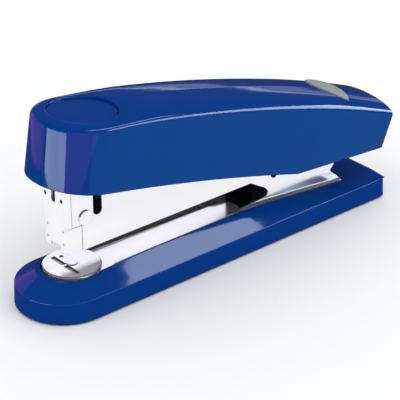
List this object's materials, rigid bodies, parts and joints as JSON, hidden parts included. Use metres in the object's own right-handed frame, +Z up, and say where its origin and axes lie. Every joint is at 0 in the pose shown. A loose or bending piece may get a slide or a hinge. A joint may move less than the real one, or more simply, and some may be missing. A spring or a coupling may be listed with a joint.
{
  "type": "desktop stapler",
  "caption": "Hand-operated desktop stapler: domed blue cap over a plated staple magazine, on a long base with a round turnable anvil disc.",
  "frame": {"origin": "on the table, under the middle of the stapler's overall length and width", "axes": "+X runs from the stapling nose to the tail, +Y across the stapler, +Z up"},
  "size_m": [0.1934, 0.043, 0.0856],
  "materials": {
    "blue_shell": "deep blue moulded plastic with a hard gloss",
    "black_plastic": "satin black moulding",
    "button_plastic": "grey-green satin plastic",
    "rubber": "matt black anti-slip sheet",
    "chrome": "bright nickel and chrome plate",
    "steel": "bare or zinc-plated steel",
    "black_steel": "blackened steel",
    "spring_steel": "drawn spring wire"
  },
  "bodies": {
    "base": {"base_shell": "blue_shell", "bottom_plate": "black_plastic", "plate_screws": "steel", "sole_pad": "rubber", "lower_channel": "chrome", "channel_screws": "steel", "rear_liner": "black_plastic", "lift_spring": "spring_steel", "main_pivot_pin": "chrome", "stop_pin": "black_steel", "anvil_pin": "steel", "clinch_wings": "steel", "anvil_spring": "spring_steel"},
    "anvil": {"anvil_tongue": "chrome", "anvil_disc": "chrome", "disc_rivet": "chrome"},
    "magazine_arm": {"magazine_frame": "chrome", "head_plate": "chrome", "driver_guide": "black_plastic", "guide_rivet": "chrome", "latch_pin": "steel", "return_spring": "spring_steel", "latch_spring": "spring_steel"},
    "latch": {"latch": "black_plastic"},
    "driver": {"driver_blade": "steel"},
    "drawer": {"drawer_head": "chrome", "drawer_channel": "steel", "guide_rod": "steel", "pusher_spring": "spring_steel"},
    "pusher": {"pusher": "black_plastic"},
    "handle": {"cap_shell": "blue_shell", "lever": "steel", "cap_screws": "steel", "slot_pin": "steel"},
    "release_button": {"release_button": "button_plastic"}
  },
  "joints": [
    {"name": "anvil_sink", "type": "hinge", "parent": "base", "child": "anvil", "pos_m": [0.00725, 0, 0.0109], "axis": [0, -1, 0], "range_deg": [0, 1.2], "stiffness_Nm_per_rad": 8, "springref_deg": -2.86, "deforming": ["anvil_spring"]},
    {"name": "arm_close", "type": "hinge", "parent": "base", "child": "magazine_arm", "pos_m": [0.06525, 0, 0.034], "axis": [0, -1, 0], "range_deg": [0, 3.7], "stiffness_Nm_per_rad": 6, "springref_deg": -6.88, "deforming": ["lift_spring"]},
    {"name": "handle_press", "type": "hinge", "parent": "magazine_arm", "child": "handle", "pos_m": [0.06525, 0, 0.034], "axis": [0, -1, 0], "range_deg": [0, 6.07], "stiffness_Nm_per_rad": 3, "springref_deg": -6.88, "deforming": ["return_spring"]},
    {"name": "driver_slide", "type": "slide", "parent": "magazine_arm", "child": "driver", "axis": [0, 0, -1], "range_m": [0, 0.0152]},
    {"name": "drawer_slide", "type": "slide", "parent": "magazine_arm", "child": "drawer", "axis": [1, 0, 0], "range_m": [-0.088, 0]},
    {"name": "pusher_slide", "type": "slide", "parent": "drawer", "child": "pusher", "axis": [1, 0, 0], "range_m": [0, 0.07], "stiffness_N_per_m": 20, "springref_m": -0.05, "deforming": ["pusher_spring"]},
    {"name": "button_press", "type": "slide", "parent": "handle", "child": "release_button", "axis": [-0.3272, 0, -0.945], "range_m": [0, 0.002], "stiffness_N_per_m": 400, "springref_m": -0.001},
    {"name": "latch_tilt", "type": "hinge", "parent": "magazine_arm", "child": "latch", "pos_m": [0.05325, 0, 0.033], "axis": [0, 1, 0], "range_deg": [0, 7.2], "deforming": ["latch_spring"]}
  ],
  "couplings": [
    {"joint": "driver_slide", "follows": "handle_press", "m_per_rad": 0.14253},
    {"joint": "latch_tilt", "follows": "button_press", "rad_per_m": 61}
  ]
}
